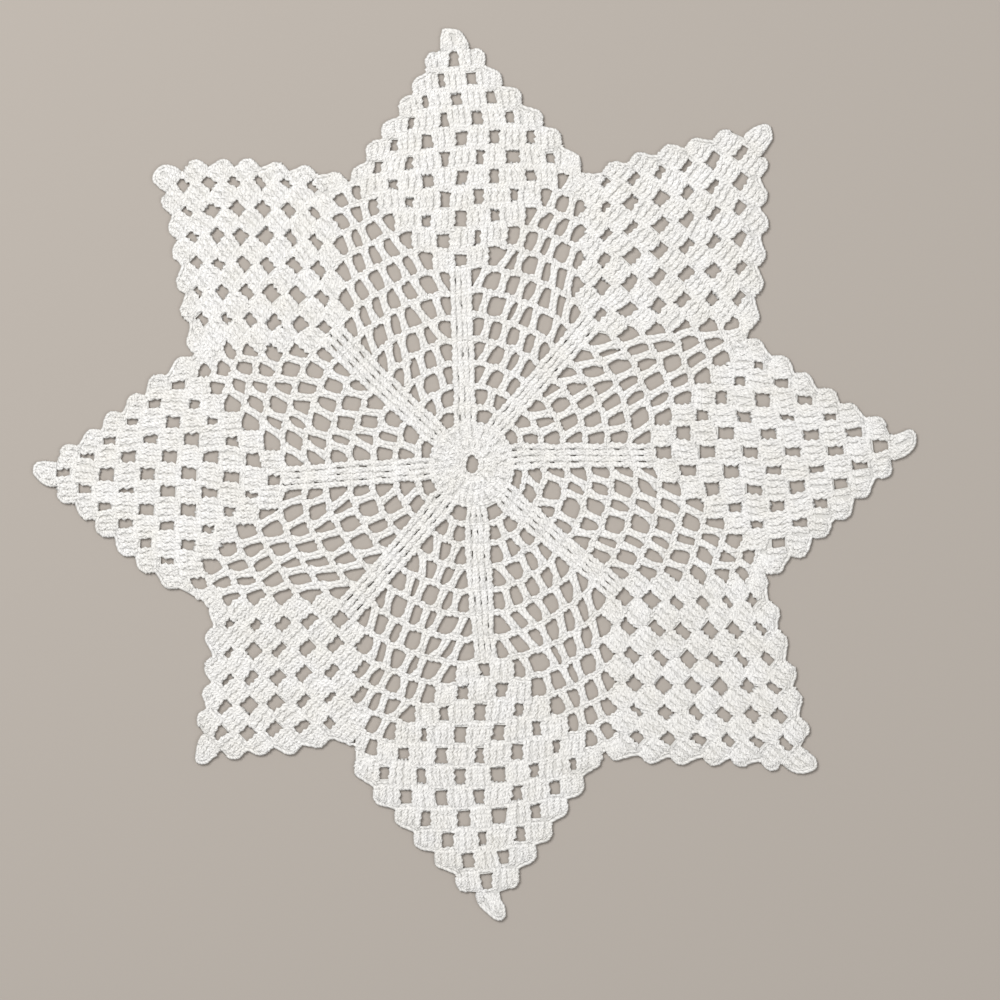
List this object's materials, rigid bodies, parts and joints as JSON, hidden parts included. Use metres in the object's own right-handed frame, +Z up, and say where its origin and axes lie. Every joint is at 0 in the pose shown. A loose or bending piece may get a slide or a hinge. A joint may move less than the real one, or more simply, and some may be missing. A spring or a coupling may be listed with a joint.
{
  "type": "lace doily",
  "caption": "Flat crocheted cotton lace doily: an eight-pointed star of blocks and open mesh round a solid middle.",
  "frame": {"origin": "middle of the doily's bounding box, on the underside that lies on the table", "axes": "+Z up out of the lace; +X and +Y each run along a point, within 4 degrees, and the smaller point lies between -X and -Y"},
  "size_m": [0.3182, 0.3214, 0.0015],
  "materials": {
    "cotton": "matte off-white mercerised crochet cotton"
  },
  "bodies": {
    "root": {"doily": "cotton"}
  },
  "joints": []
}
